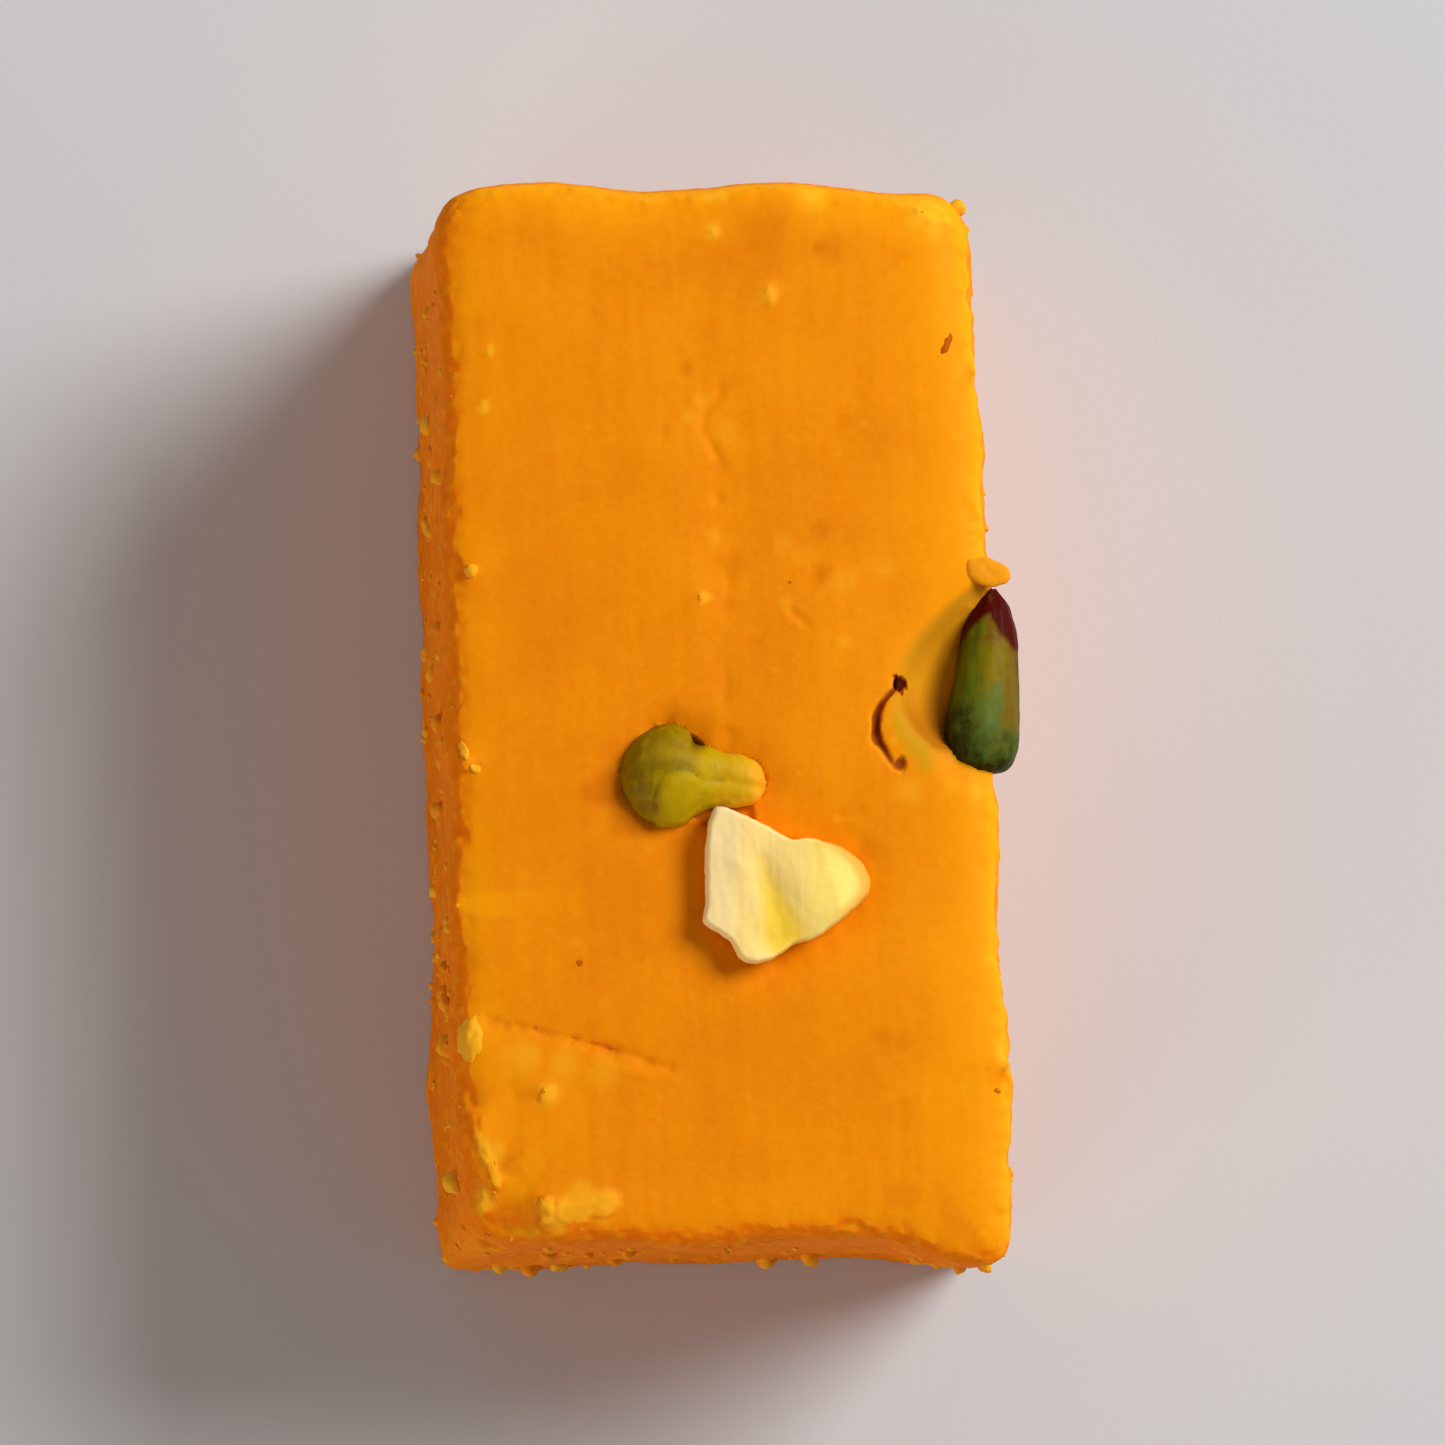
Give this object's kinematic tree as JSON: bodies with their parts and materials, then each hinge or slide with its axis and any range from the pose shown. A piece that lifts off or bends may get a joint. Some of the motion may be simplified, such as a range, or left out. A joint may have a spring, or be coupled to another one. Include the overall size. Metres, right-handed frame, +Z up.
{
  "type": "barfi",
  "caption": "Cut finger of orange milk fudge, a squared block with a pressed top, torn cut sides and bits of chopped pistachio and almond set in the top.",
  "frame": {"origin": "middle of the piece's flat foot, at the centre of the whole piece's box", "axes": "+Y along the piece, from its near end to its far end; +X across it, to the right as seen from the near end; +Z up through the pressed top"},
  "size_m": [0.0236, 0.0436, 0.0214],
  "materials": {
    "fudge": "dense orange-yellow milk fudge, satin pressed top, torn and crumbly cut sides",
    "pistachio": "chopped pistachio, olive green outside and yellow-green where cut",
    "pistachio_skin": "pistachio sliver, deep green with maroon skin at its point",
    "almond": "blanched almond chip, cream with a yellower valley"
  },
  "bodies": {
    "root": {"barfi_block": "fudge", "pistachio_chip": "pistachio", "pistachio_sliver": "pistachio_skin", "almond_chip": "almond"}
  },
  "joints": []
}
